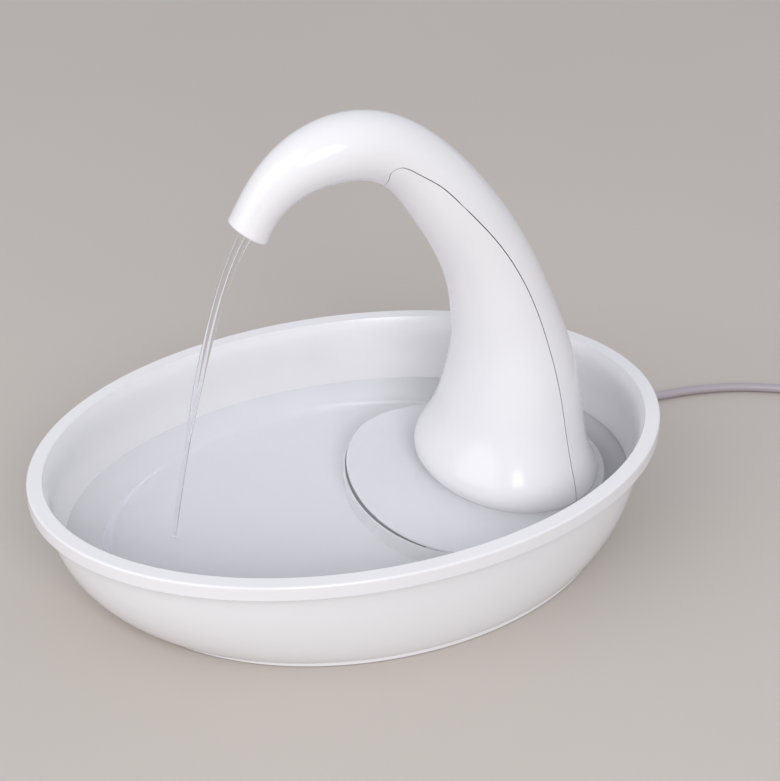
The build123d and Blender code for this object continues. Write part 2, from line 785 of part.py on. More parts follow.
def make_nozzle():
    """Plug in the spout's end with a round mouth, and a spigot for the hose."""
    back = nozzle_recess + nozzle_length
    plug = spout_plane(back) * extrude(Circle(neck_stations[-1][3]), nozzle_length)
    plug &= neck_loft(neck_wall + nozzle_clearance, neck_overrun)
    spigot = spout_plane(back + nozzle_spigot_length) * extrude(Circle(barb_radius), nozzle_spigot_length)
    bore = spout_plane(back + nozzle_spigot_length) * extrude(
        Circle(nozzle_bore_radius), nozzle_length + nozzle_spigot_length
    )
    mouth = spout_plane(back) * Cone(
        nozzle_bore_radius, nozzle_mouth_radius, nozzle_length, align=(Align.CENTER, Align.CENTER, Align.MIN)
    )
    return plug + spigot - bore - mouth


# ---------------------------------------------------------------- filter


def cartridge_window(inset, start, end):
    """Block that fills the cartridge frame's window, less inset, from one x to another."""
    half = cartridge_half_width - cartridge_frame_bar - inset
    bottom = floor_top + cartridge_frame_bar + inset
    return block(start, end, 2 * half, bottom, floor_top + cartridge_height - cartridge_frame_bar - inset)


def make_cartridge_frame():
    start = cartridge_x - cartridge_depth / 2
    end = cartridge_x + cartridge_depth / 2
    frame = block(start, end, 2 * cartridge_half_width, floor_top, floor_top + cartridge_height)
    frame = fillet(frame.edges().filter_by(Axis.X), cartridge_edge_round)
    return frame - cartridge_window(0, start, end)


def screen_starts():
    """Front x of the two screens, just inside the frame's faces."""
    front = cartridge_x - cartridge_depth / 2 + screen_recess
    rear = cartridge_x + cartridge_depth / 2 - screen_recess - screen_thickness
    return front, rear


def make_screens():
    count = int((cartridge_half_width - cartridge_frame_bar - screen_border) * 2 / screen_pitch)
    height = cartridge_height - 2 * (cartridge_frame_bar + screen_border)
    middle_z = floor_top + cartridge_height / 2
    screens = []
    for start in screen_starts():
        screen = cartridge_window(seat_gap, start, start + screen_thickness)
        slots = [
            Pos(start + screen_thickness / 2, (index - (count - 1) / 2) * screen_pitch, middle_z)
            * Box(screen_thickness, screen_slot, height)
            for index in range(count)
        ]
        screens.append(screen - slots)
    return Compound(children=screens)


def make_carbon_pad():
    front, rear = screen_starts()
    return cartridge_window(seat_gap, front + screen_thickness, rear)


def make_foam():
    """Coarse foam between the slot under the lid and the cartridge, cut to the housing's front."""
    top = sill_top + foam_rise
    rear = cartridge_x - cartridge_depth / 2 - 2 * fit_clearance - guide_wall
    plan = egg_inset(housing_wall + fit_clearance, floor_top)
    return extrude(plan, top - floor_top) & block(housing_front_x, rear, bowl_width, floor_top, top)


# ---------------------------------------------------------------- mains cord


def make_grommet():
    """Rubber grommet pushed through the socket: bead inside, flange outside."""
    bore = cord_radius + seat_gap
    grommet = on_exit(grommet_radius, socket_inner, socket_outer, bore)
    grommet += on_exit(grommet_flange_radius, socket_outer, relief_start, bore)
    return grommet + on_exit(grommet_bead_radius, socket_inner - grommet_bead, socket_inner, bore)


def make_strain_relief():
    """Tapered sleeve on the cord, ringed so that it bends."""
    sleeve = exit_plane(relief_start) * Cone(
        relief_root_radius, relief_tip_radius, relief_length, align=(Align.CENTER, Align.CENTER, Align.MIN)
    )
    pitch = relief_length / (relief_grooves + 1)
    for index in range(relief_grooves):
        middle = relief_start + (index + 1) * pitch
        share = (middle - relief_start) / relief_length
        radius = relief_root_radius + (relief_tip_radius - relief_root_radius) * share
        sleeve -= on_exit(
            grommet_flange_radius,
            middle - relief_groove_width / 2,
            middle + relief_groove_width / 2,
            radius - relief_groove_depth,
        )
    return sleeve - on_exit(cord_radius + seat_gap, relief_start, relief_end)


def coil_tangent(turn, height, radius):
    """Plane across a turn of the coil, facing the way it winds."""
    angle = math.radians(turn)
    center = Vector(coil_center[0], coil_center[1], height)
    place = center + Vector(math.cos(angle), math.sin(angle), 0) * radius
    return Plane(origin=place, x_dir=(0, 0, 1), z_dir=(-math.sin(angle), math.cos(angle), 0))


def coil_start():
    """Where the free cord ends and the coil's solid begins."""
    joint = coil_tangent(coil_in_turn, cord_height, coil_outer_turn)
    return joint.origin - joint.z_dir * coil_in_run


def make_power_cord():
    route = [tuple(exit_plane(relief_end).origin), tuple(exit_plane(relief_end + cord_first_run).origin)]
    route += cord_route + [tuple(coil_start())]
    return routed_tube("power_cord", route, cord_radius)


def tie_section(inset):
    """Section of the coil where the tie holds it, drawn in by inset."""
    return RectangleRounded(coil_height - 2 * inset, coil_band - 2 * inset, coil_round - inset)


def tie_plane(half):
    middle = coil_tangent(tie_turn, cord_lift + coil_height / 2, coil_mid_radius)
    return Plane(origin=middle.origin - middle.z_dir * half, x_dir=middle.x_dir, z_dir=middle.z_dir)


def make_coil():
    """Outer shape of the wound cord, with its two ends, pulled in under the tie."""
    inner = coil_mid_radius - coil_band / 2
    outer = coil_mid_radius + coil_band / 2
    center = Pos(coil_center[0], coil_center[1], cord_lift)
    coil = extrude(Circle(outer) - Circle(inner), coil_height)
    coil = center * fillet(coil.edges().filter_by(GeomType.CIRCLE), coil_round)
    arrival = coil_tangent(coil_in_turn, cord_height, coil_outer_turn)
    coil += Plane(origin=coil_start(), z_dir=arrival.z_dir) * extrude(Circle(cord_radius), coil_in_run)
    leave = coil_tangent(coil_out_turn, coil_out_height, coil_outer_turn)
    coil += leave * extrude(Circle(cord_radius), coil_out_run)
    half = tie_width / 2 + seat_gap
    sleeve = extrude(tie_section(-tie_thickness) - tie_section(tie_thickness + seat_gap), 2 * half)
    return coil - tie_plane(half) * sleeve


def make_tie():
    return tie_plane(tie_width / 2) * extrude(tie_section(0) - tie_section(tie_thickness), tie_width)


def plug_plane(ahead):
    """Plane across the plug's axis, facing its pins, ahead of the coil's free end."""
    leave = coil_tangent(coil_out_turn, coil_out_height, coil_outer_turn)
    origin = leave.origin + leave.z_dir * (coil_out_run + ahead)
    return Plane(origin=origin, x_dir=(0, 0, 1), z_dir=leave.z_dir)


def make_plug():
    """Flat two-pin plug with its own strain relief."""
    sleeve = plug_plane(0) * Cone(
        plug_relief_tip_radius,
        plug_relief_root_radius,
        plug_relief_length,
        align=(Align.CENTER, Align.CENTER, Align.MIN),
    )
    neck = RectangleRounded(plug_thickness, plug_neck_width, plug_corner_round)
    full = RectangleRounded(plug_thickness, plug_width, plug_corner_round)
    sections = [
        plug_plane(plug_relief_length) * neck,
        plug_plane(plug_relief_length + plug_length / 2) * full,
        plug_plane(plug_relief_length + plug_length) * full,
    ]
    body = loft(sections, ruled=True)
    plug = sleeve + body
    for pin in pin_cylinders(seat_gap, 0.0):
        plug -= pin
    return plug


def pin_cylinders(extra, length):
    """The two pins: rooted in the plug, grown by extra all round, standing out by length."""
    face = plug_relief_length + plug_length
    base = plug_plane(face - pin_rooted)
    return [
        base * Pos(0, side * pin_spacing / 2, 0) * extrude(Circle(pin_radius + extra), pin_rooted + length)
        for side in (1, -1)
    ]


def make_pins():
    pins = []
    for pin in pin_cylinders(0.0, pin_length):
        tip = pin.faces().sort_by(Axis(pin.center(), plug_plane(0).z_dir))[-1]
        pins.append(fillet(tip.edges(), pin_tip_round))
    return Compound(children=pins)


# ---------------------------------------------------------------- the nodes

front_shell, hood = make_neck()
save("bowl", make_bowl())
save("rubber_feet", make_feet())
save("pump_housing", make_housing())
save("lid", make_lid())
save("neck_front_shell", front_shell)
save("neck_hood", hood)
save("neck_screws", make_screws())
save("pump_body", make_pump_body())
save("suction_cups", make_cups())
save("volute_cover", make_volute_cover())
save("volute_seal", make_seal())
save("impeller", make_impeller())
save("rotor_magnet", make_magnet())
save("rotor_shaft", on_axis(shaft_radius, front_bush_x, well_end_x + bush_length))
save("front_bush", on_axis(bush_radius, front_bush_x, front_bush_x + bush_length, shaft_radius + seat_gap))
save("rear_bush", on_axis(bush_radius, well_end_x, well_end_x + bush_length, shaft_radius + seat_gap))
save("intake_strainer", make_strainer())
save("flow_dial", make_flow_dial())
save("hose_adaptor", make_adaptor())
save("delivery_hose", make_hose())
save("spout_nozzle", make_nozzle())
save("cartridge_frame", make_cartridge_frame())
save("carbon_screens", make_screens())
save("carbon_pad", make_carbon_pad())
save("foam_block", make_foam())
save("cord_grommet", make_grommet())
save("strain_relief", make_strain_relief())
save("pump_lead", routed_tube("pump_lead", lead_route(), cord_radius))
save("power_cord", make_power_cord())
save("cord_coil", make_coil())
save("cord_tie", make_tie())
save("plug_body", make_plug())
save("plug_pins", make_pins())
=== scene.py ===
"""Pet water fountain: plastics, water, pouring stream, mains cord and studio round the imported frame."""

import math

import bmesh
import bpy
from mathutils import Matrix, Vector


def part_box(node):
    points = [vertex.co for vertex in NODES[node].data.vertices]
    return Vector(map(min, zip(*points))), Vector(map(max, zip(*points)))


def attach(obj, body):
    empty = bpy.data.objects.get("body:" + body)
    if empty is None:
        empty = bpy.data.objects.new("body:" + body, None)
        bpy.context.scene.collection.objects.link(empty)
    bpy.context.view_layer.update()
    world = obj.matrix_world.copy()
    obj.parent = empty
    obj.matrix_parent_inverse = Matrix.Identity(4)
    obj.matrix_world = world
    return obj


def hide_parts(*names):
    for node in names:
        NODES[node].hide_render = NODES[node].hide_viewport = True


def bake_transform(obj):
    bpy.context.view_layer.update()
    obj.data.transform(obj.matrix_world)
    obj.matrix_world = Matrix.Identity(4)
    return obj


bl_info = {
    "name": "Pet Water Fountain",
    "version": (1, 0, 0),
    "blender": (4, 5, 0),
    "location": "View3D > Sidebar > Fountain",
    "description": "Finishes, water, stream, mains cord and studio for the pet water fountain",
    "category": "Object",
}

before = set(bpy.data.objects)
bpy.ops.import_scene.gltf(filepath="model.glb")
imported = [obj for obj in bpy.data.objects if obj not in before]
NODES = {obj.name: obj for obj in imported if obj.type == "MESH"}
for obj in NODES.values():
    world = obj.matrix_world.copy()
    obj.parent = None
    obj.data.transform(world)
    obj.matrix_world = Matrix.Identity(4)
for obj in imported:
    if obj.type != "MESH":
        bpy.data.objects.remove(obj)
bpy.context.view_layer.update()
MM = 0.001
GRAVITY = 9.81

# ------------------------------------------------------------------ fixed facts of the frame, in millimetres

# bowl's rim: the frame's triangles fall a hair short of its size, which is in whole millimetres
BOWL_LOW, BOWL_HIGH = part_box("bowl")
BOWL_HALF_LENGTH = round((BOWL_HIGH.x - BOWL_LOW.x) / MM) / 2
BOWL_HALF_WIDTH = round((BOWL_HIGH.y - BOWL_LOW.y) / MM) / 2

# bowl's inner wall draws in between these two heights
BAND_BOTTOM = 65.5
FLOOR_TOP = 4.6
# how far inside the rim it lies above them, and at the floor at its ends and its sides
WALL_RECESS = 12.0
FOOT_END_SETBACK = 41.0
FOOT_SIDE_SETBACK = 23.0
# how far its middle lies to the cord's side at the floor, and the two powers of its curve
FOOT_SHIFT = 5.0
WALL_FULLNESS = 2.3
HEEL_ROUNDNESS = 0.73

# middle of the spout's mouth
SPOUT_MOUTH = (-57.3, 0.0, 220.0)

# mains cord's route from the strain relief to the coil, and its thickness
CORD_ROUTE = [
    (188.8, 56.2, 13.0),
    (205.1, 61.2, 13.0),
    (223.0, 65.4, 5.4),
    (243.5, 66.0, 2.9),
    (264.0, 64.3, 2.9),
    (283.5, 60.4, 2.9),
    (303.0, 54.0, 2.9),
    (324.1, 42.8, 2.9),
    (341.1, 32.9, 2.9),
]
CORD_RADIUS = 2.8

# coil: its middle, where the cord comes in and goes out, in degrees, and how many points one turn has
COIL_CENTER = (390.0, 51.6)
COIL_IN_TURN = -120.0
COIL_OUT_TURN = -20.0
COIL_STEPS = 16
# radius and height of each turn: four on the floor from the outside in, then outwards on top of them
COIL_SLOTS = [(40.8, 2.9), (35.0, 2.9), (29.2, 2.9), (23.4, 2.9), (26.3, 7.75), (32.1, 7.75), (37.9, 7.75)]
# share of a turn over which the cord moves to the next slot
COIL_SHIFT = 0.25
# run past the coil and height of the straight end's points
COIL_TAIL = [(12.0, 8.4), (24.0, 8.0), (36.0, 8.0)]

# ------------------------------------------------------------------ pieces that share a finish

SHELL_NODES = ["bowl", "pump_housing", "lid", "neck_front_shell", "neck_hood", "spout_nozzle"]
FOOT_NODES = ["rubber_feet", "cord_grommet"]
PUMP_NODES = ["pump_body", "volute_cover", "intake_strainer", "flow_dial", "hose_adaptor"]
SEAL_NODES = ["suction_cups", "volute_seal", "front_bush", "rear_bush"]
FILTER_NODES = ["cartridge_frame", "carbon_screens"]
JACKET_NODES = ["strain_relief", "pump_lead"]

# ------------------------------------------------------------------ finishes of small and hidden parts

# colour and roughness
SCREW_STEEL = ((0.56, 0.56, 0.57), 0.3)
SHAFT_STEEL = ((0.60, 0.60, 0.61), 0.2)
PIN_METAL = ((0.72, 0.70, 0.66), 0.18)
TIE_PLASTIC = ((0.62, 0.62, 0.62), 0.4)
SEAL_RUBBER = ((0.02, 0.02, 0.022), 0.55)
IMPELLER_PLASTIC = ((0.70, 0.70, 0.67), 0.3)
MAGNET = ((0.03, 0.03, 0.033), 0.35)
FILTER_PLASTIC = ((0.07, 0.085, 0.10), 0.45)

# colour, from which open_cell darkens each cell's pit as painted shade, cells in a metre, and depth of a
# cell in metres
CARBON_FELT = ((0.02, 0.02, 0.022), 700.0, 0.0004)
FILTER_FOAM = ((0.035, 0.038, 0.042), 900.0, 0.0004)

# colour, share of the light let through, and lowest and highest roughness
HOSE_VINYL = ((0.80, 0.83, 0.85), 0.45, (0.20, 0.26))
VINYL_IOR = 1.45

# fine waves: size as noise scale, stretch along each axis, and height in metres
POOL_WAVES = (60.0, (1, 1, 1), 0.00012)
STREAM_WAVES = (900.0, (1, 1, 0.03), 0.00008)
STREAM_CLEARNESS = 1.0
WATER_IOR = 1.333

# rings where the stream lands: over how many ring lengths they swell, and die away
RIPPLE_RISE = 0.4
RIPPLE_REACH = 2.6
# slow swell: height in metres, then two crossed waves, each as radians to the metre along x and y, and start
SWELL = [
    (0.00012, (41.0, 23.0, 0.0), (17.0, -37.0, 1.0)),
    (0.00005, (95.0, -61.0, 2.0), (50.0, 73.0, 0.0)),
]

# noise scales of all moulded pieces, and how far their gloss strays from its middle value
MOTTLE_SCALE = 22.0
GLOSS_SCALE = 75.0
GLOSS_SPREAD = 0.3
# most values of a noise or of cells lie between these
NOISE_LOW = 0.3
NOISE_HIGH = 0.7

# ------------------------------------------------------------------ studio

SKY_COLOR = (0.93, 0.95, 1.0)
# place, width, and power as a share of the key's
LAMPS = {
    "key": ((-0.30, -1.75, 1.25), 1.0, 1.0),
    "fill": ((-2.3, -0.7, 1.6), 3.2, 1.7),
}
LAMP_AIM = (0, 0, 0.1)


# ------------------------------------------------------------------ sizes and colours


class FountainFinishes(bpy.types.PropertyGroup):
    """Colours and gloss"""

    shell_color: bpy.props.FloatVectorProperty(
        name="Shell colour", description="White of the bowl, lid and neck", subtype="COLOR",
        size=3, min=0, max=1, default=(0.80, 0.79, 0.81),
    )
    shell_roughness: bpy.props.FloatProperty(
        name="Shell roughness", description="Gloss of the white plastic", subtype="FACTOR",
        min=0, max=1, default=0.14,
    )
    pump_color: bpy.props.FloatVectorProperty(
        name="Pump colour", description="Black of the pump's plastic", subtype="COLOR",
        size=3, min=0, max=1, default=(0.012, 0.013, 0.015),
    )
    cord_color: bpy.props.FloatVectorProperty(
        name="Cord colour", description="Jacket of the cord and its plug", subtype="COLOR",
        size=3, min=0, max=1, default=(0.42, 0.375, 0.41),
    )
    foot_color: bpy.props.FloatVectorProperty(
        name="Foot colour", description="Rubber of the feet and the grommet", subtype="COLOR",
        size=3, min=0, max=1, default=(0.20, 0.20, 0.21),
    )


class FountainWater(bpy.types.PropertyGroup):
    """Water in the bowl and the stream"""

    level: bpy.props.FloatProperty(
        name="Water level", description="Height of the water above the floor", subtype="DISTANCE",
        unit="LENGTH", default=0.03175,
    )
    ripple: bpy.props.FloatProperty(
        name="Ripple height", description="Height of the rings where the stream lands", subtype="DISTANCE",
        unit="LENGTH", default=0.00022,
    )
    ripple_length: bpy.props.FloatProperty(
        name="Ripple length", description="Distance from one ring to the next", subtype="DISTANCE",
        unit="LENGTH", default=0.012,
    )
    stream_width: bpy.props.FloatProperty(
        name="Stream width", description="Width of the stream at the spout", subtype="DISTANCE",
        unit="LENGTH", default=0.0075,
    )
    stream_slope: bpy.props.FloatProperty(
        name="Stream slope", description="Fall per run where the stream leaves the spout", default=1.36,
    )
    stream_speed: bpy.props.FloatProperty(
        name="Stream speed", description="Level speed of the stream", unit="VELOCITY", default=0.342,
    )
    tint: bpy.props.FloatVectorProperty(
        name="Water tint", description="Colour of the water in the bowl", subtype="COLOR",
        size=3, min=0, max=1, default=(0.90, 0.905, 0.93),
    )
    clearness: bpy.props.FloatProperty(
        name="Water clearness", description="How much light goes through the water in the bowl",
        subtype="FACTOR", min=0, max=1, default=0.80,
    )
    stream_tint: bpy.props.FloatVectorProperty(
        name="Stream tint", description="Colour of the falling water", subtype="COLOR",
        size=3, min=0, max=1, default=(0.96, 0.965, 0.98),
    )


class FountainStudio(bpy.types.PropertyGroup):
    """Camera, floor and light"""

    camera_place: bpy.props.FloatVectorProperty(
        name="Camera place", description="Where the camera stands", subtype="TRANSLATION",
        unit="LENGTH", size=3, default=(-0.3567, -0.9312, 0.7384),
    )
    camera_turn: bpy.props.FloatVectorProperty(
        name="Camera turn", description="How the camera is turned, in degrees", size=3,
        default=(57.551, 0.0, -22.264),
    )
    camera_lens: bpy.props.FloatProperty(
        name="Camera lens", description="Focal length in millimetres", unit="CAMERA", default=94.77,
    )
    floor_color: bpy.props.FloatVectorProperty(
        name="Floor colour", description="Plain pale floor", subtype="COLOR",
        size=3, min=0, max=1, default=(0.55, 0.505, 0.465),
    )
    floor_reach: bpy.props.FloatProperty(
        name="Floor reach", description="From the middle of the floor to its sides", subtype="DISTANCE",
        unit="LENGTH", default=60.0,
    )
    sky_strength: bpy.props.FloatProperty(
        name="Sky strength", description="Even light from all round", default=0.68,
    )
    key_power: bpy.props.FloatProperty(
        name="Key power", description="Power of the key lamp", unit="POWER", default=17.0,
    )


# ------------------------------------------------------------------ parts of a material


def new_material(name):
    """A node material, its tree and its shader."""
    made = bpy.data.materials.new(name)
    made.use_nodes = True
    return made, made.node_tree, made.node_tree.nodes["Principled BSDF"]


def link(tree, source, target):
    """Joins an output to an input."""
    tree.links.new(source, target)


def noise(tree, scale, detail=2.0, stretch=(1, 1, 1)):
    """Noise on the piece's own coordinates; a scale of 1000 has features of about a millimetre."""
    place = tree.nodes.new("ShaderNodeTexCoord")
    fit = tree.nodes.new("ShaderNodeMapping")
    fit.inputs["Scale"].default_value = stretch
    made = tree.nodes.new("ShaderNodeTexNoise")
    made.inputs["Scale"].default_value = scale
    made.inputs["Detail"].default_value = detail
    link(tree, place.outputs["Object"], fit.inputs["Vector"])
    link(tree, fit.outputs["Vector"], made.inputs["Vector"])
    return made.outputs["Fac"]


def ranged(tree, value, low, high):
    """The usual values of a noise or of cells, stretched from low to high."""
    made = tree.nodes.new("ShaderNodeMapRange")
    made.inputs["From Min"].default_value = NOISE_LOW
    made.inputs["From Max"].default_value = NOISE_HIGH
    made.inputs["To Min"].default_value = low
    made.inputs["To Max"].default_value = high
    link(tree, value, made.inputs["Value"])
    return made.outputs["Result"]


def uneven_gloss(tree, pattern, roughness):
    """Roughness that strays both ways from its middle value."""
    return ranged(tree, pattern, roughness * (1 - GLOSS_SPREAD), roughness * (1 + GLOSS_SPREAD))


def mixed(tree, share, first, second):
    """Colour between two, by a share."""
    made = tree.nodes.new("ShaderNodeMix")
    made.data_type = "RGBA"
    made.inputs["A"].default_value = (*first, 1)
    made.inputs["B"].default_value = (*second, 1)
    link(tree, share, made.inputs["Factor"])
    return made.outputs["Result"]


def bumped(tree, height, strength, distance):
    """Normal that a height pattern bends, with its full height in metres."""
    made = tree.nodes.new("ShaderNodeBump")
    made.inputs["Strength"].default_value = strength
    made.inputs["Distance"].default_value = distance
    link(tree, height, made.inputs["Height"])
    return made.outputs["Normal"]


def shaded(color, share):
    """A colour made darker."""
    return tuple(part * share for part in color)


# ------------------------------------------------------------------ materials


def moulded(name, color, roughness, mottle=0.94, grain=900.0, relief=0.00002):
    """Moulded plastic or rubber: faint mottling, uneven gloss and a fine moulded grain."""
    made, tree, shader = new_material(name)
    broad = ranged(tree, noise(tree, MOTTLE_SCALE, detail=3.0), 0.0, 1.0)
    link(tree, mixed(tree, broad, shaded(color, mottle), color), shader.inputs["Base Color"])
    gloss = uneven_gloss(tree, noise(tree, GLOSS_SCALE, detail=4.0), roughness)
    link(tree, gloss, shader.inputs["Roughness"])
    fine = noise(tree, grain, detail=3.0)
    link(tree, bumped(tree, fine, strength=0.25, distance=relief), shader.inputs["Normal"])
    return made


def metal(name, color, roughness):
    """Turned or ground metal, with its marks drawn out along x."""
    made, tree, shader = new_material(name)
    shader.inputs["Metallic"].default_value = 1.0
    shader.inputs["Base Color"].default_value = (*color, 1)
    marks = noise(tree, scale=1400.0, detail=3.0, stretch=(0.1, 1, 1))
    link(tree, uneven_gloss(tree, marks, roughness), shader.inputs["Roughness"])
    link(tree, bumped(tree, marks, strength=0.2, distance=0.00002), shader.inputs["Normal"])
    return made


def open_cell(name, color, cells_per_metre, relief):
    """Foam or felt: dark cells in a lighter web, the dark being painted shade in the cells' sunken middles.
    """
    made, tree, shader = new_material(name)
    place = tree.nodes.new("ShaderNodeTexCoord")
    cells = tree.nodes.new("ShaderNodeTexVoronoi")
    cells.inputs["Scale"].default_value = cells_per_metre
    link(tree, place.outputs["Object"], cells.inputs["Vector"])
    depth = ranged(tree, cells.outputs["Distance"], 0.0, 1.0)
    # painted shade: each cell's middle, which the bump below sinks into a pit, is darkened to three tenths
    # of the colour
    link(tree, mixed(tree, depth, shaded(color, share=0.3), color), shader.inputs["Base Color"])
    link(tree, bumped(tree, depth, strength=0.9, distance=relief), shader.inputs["Normal"])
    shader.inputs["Roughness"].default_value = 0.95
    return made


def clear_vinyl(name, color, clearness, roughness):
    """Hose: partly clear, and slightly cloudy from place to place."""
    made, tree, shader = new_material(name)
    shader.inputs["Base Color"].default_value = (*color, 1)
    shader.inputs["Transmission Weight"].default_value = clearness
    shader.inputs["IOR"].default_value = VINYL_IOR
    cloud = noise(tree, scale=120.0)
    link(tree, ranged(tree, cloud, *roughness), shader.inputs["Roughness"])
    return made


def water_material(name, tint, clearness, scale, stretch, relief):
    """Water with fine waves on it, which lets light through to what lies under it."""
    made, tree, shader = new_material(name)
    shader.inputs["Base Color"].default_value = (*tint, 1)
    shader.inputs["Transmission Weight"].default_value = clearness
    shader.inputs["IOR"].default_value = WATER_IOR
    shader.inputs["Roughness"].default_value = 0.0
    waves = noise(tree, scale, stretch=stretch)
    link(tree, bumped(tree, waves, strength=0.5, distance=relief), shader.inputs["Normal"])
    passing = tree.nodes.new("ShaderNodeBsdfTransparent")
    passing.inputs["Color"].default_value = (*tint, 1)
    rays = tree.nodes.new("ShaderNodeLightPath")
    either = tree.nodes.new("ShaderNodeMixShader")
    link(tree, rays.outputs["Is Shadow Ray"], either.inputs[0])
    link(tree, shader.outputs["BSDF"], either.inputs[1])
    link(tree, passing.outputs["BSDF"], either.inputs[2])
    link(tree, either.outputs["Shader"], tree.nodes["Material Output"].inputs["Surface"])
    return made


def floor_paint(color):
    """Matt paint with broad, barely darker patches."""
    made, tree, shader = new_material("floor_paint")
    broad = ranged(tree, noise(tree, scale=3.0, detail=4.0), 0.0, 1.0)
    link(tree, mixed(tree, broad, shaded(color, share=0.97), color), shader.inputs["Base Color"])
    shader.inputs["Roughness"].default_value = 0.7
    return made


def dress(nodes, material):
    """Gives carried-over pieces their material."""
    for node in nodes:
        materials = NODES[node].data.materials
        materials.clear()
        materials.append(material)


# ------------------------------------------------------------------ meshes


def new_object(name, data):
    """An object in the scene, at the origin."""
    made = bpy.data.objects.new(name, data)
    bpy.context.scene.collection.objects.link(made)
    return made


def mesh_object(name, mesh, material):
    """An object from a bmesh."""
    data = bpy.data.meshes.new(name)
    mesh.to_mesh(data)
    mesh.free()
    data.materials.append(material)
    return new_object(name, data)


def smooth_piece(name, mesh, material):
    """A closed piece with smooth faces that point outwards."""
    bmesh.ops.recalc_face_normals(mesh, faces=mesh.faces)
    for face in mesh.faces:
        face.smooth = True
    return mesh_object(name, mesh, material)


def start_ring(mesh, segments, place):
    """A closed ring of edges, its points where place(angle) says, and the angle of each point."""
    points = bmesh.ops.create_circle(mesh, segments=segments, radius=1.0)["verts"]
    angles = {point: math.atan2(point.co.y, point.co.x) for point in points}
    for point in points:
        point.co = place(angles[point])
    return list(mesh.edges), angles


def grow_ring(mesh, ring, angles, place):
    """Extrudes a closed ring; each new point has its old one's angle and goes where place(angle) says."""
    known = {tuple(point.co): angles[point] for edge in ring for point in edge.verts}
    made = bmesh.ops.extrude_edge_only(mesh, edges=ring)["geom"]
    points = [item for item in made if isinstance(item, bmesh.types.BMVert)]
    for point in points:
        angles[point] = known[tuple(point.co)]
        point.co = place(angles[point])
    new = set(points)
    return [item for item in made if isinstance(item, bmesh.types.BMEdge) and new.issuperset(item.verts)]


def close_ring(mesh, ring):
    """Fills a closed ring with one face."""
    bmesh.ops.contextual_create(mesh, geom=ring)


def bowl_wall(height):
    """Half length, half width and middle of the bowl's inside at a height, in millimetres."""
    drop = min(max((BAND_BOTTOM - height) / (BAND_BOTTOM - FLOOR_TOP), 0.0), 1.0)
    turn = 1 - (1 - drop**WALL_FULLNESS) ** HEEL_ROUNDNESS
    end = WALL_RECESS + (FOOT_END_SETBACK - WALL_RECESS) * turn
    side = WALL_RECESS + (FOOT_SIDE_SETBACK - WALL_RECESS) * turn
    return BOWL_HALF_LENGTH - end, BOWL_HALF_WIDTH - side, FOOT_SHIFT * turn


def on_coil(angle, radius, height):
    """Point of the cord's coil, in millimetres."""
    return Vector(
        (COIL_CENTER[0] + radius * math.cos(angle), COIL_CENTER[1] + radius * math.sin(angle), height)
    )


# ------------------------------------------------------------------ how the water moves, in metres


def stream_point(run, settings):
    """Centre of the stream after a level run from the spout's mouth."""
    fall = settings.stream_slope * run + GRAVITY * run * run / (2 * settings.stream_speed**2)
    return Vector(SPOUT_MOUTH) * MM + Vector((-run, 0, -fall))


def stream_landing(settings):
    """Level run at which the stream meets the water, to a tenth of a millimetre."""
    run = 0.0
    while stream_point(run, settings).z > settings.level:
        run += 0.1 * MM
    return run


def ripple_height(distance, settings):
    """Height of the rings at a distance from where the stream lands: they swell, then die away."""
    wave = math.cos(2 * math.pi * distance / settings.ripple_length)
    swelling = 1 - math.exp(-distance / (RIPPLE_RISE * settings.ripple_length))
    fading = math.exp(-distance / (RIPPLE_REACH * settings.ripple_length))
    return settings.ripple * wave * swelling * fading


def swell_height(x, y):
    """Height of the slow uneven swell."""
    total = 0.0
    for height, *crossed in SWELL:
        wave = height
        for along_x, along_y, start in crossed:
            wave *= math.sin(along_x * x + along_y * y + start)
        total += wave
    return total


# ------------------------------------------------------------------ operators


class FOUNTAIN_OT_studio(bpy.types.Operator):
    """Camera, plain pale floor and soft light"""

    bl_idname = "fountain.studio"
    bl_label = "Studio"

    def execute(self, context):
        settings = context.scene.fountain_studio
        self.make_camera(context, settings)
        self.make_floor(settings)
        self.make_sky(context, settings)
        self.make_lamps(settings)
        context.scene.view_settings.view_transform = "Standard"
        return {"FINISHED"}

    def make_camera(self, context, settings):
        """The view that the scene is rendered from."""
        data = bpy.data.cameras.new("camera")
        data.lens = settings.camera_lens
        camera = new_object("camera", data)
        camera.location = settings.camera_place
        camera.rotation_euler = [math.radians(turn) for turn in settings.camera_turn]
        context.scene.camera = camera

    def make_floor(self, settings):
        """A flat square that reaches past the view."""
        mesh = bmesh.new()
        bmesh.ops.create_grid(mesh, x_segments=1, y_segments=1, size=settings.floor_reach)
        floor = mesh_object("floor", mesh, floor_paint(tuple(settings.floor_color)))

    def make_sky(self, context, settings):
        """Even light from all round."""
        world = bpy.data.worlds.new("studio")
        world.use_nodes = True
        sky = world.node_tree.nodes["Background"]
        sky.inputs["Color"].default_value = (*SKY_COLOR, 1)
        sky.inputs["Strength"].default_value = settings.sky_strength
        context.scene.world = world

    def make_lamps(self, settings):
        """Round soft lamps, turned to the fountain."""
        for name, (place, width, share) in LAMPS.items():
            data = bpy.data.lights.new(name, "AREA")
            data.shape = "DISK"
            data.size = width
            data.energy = settings.key_power * share
            lamp = new_object(name, data)
            lamp.location = place
            aim = Vector(LAMP_AIM) - Vector(place)
            lamp.rotation_euler = aim.to_track_quat("-Z", "Y").to_euler()


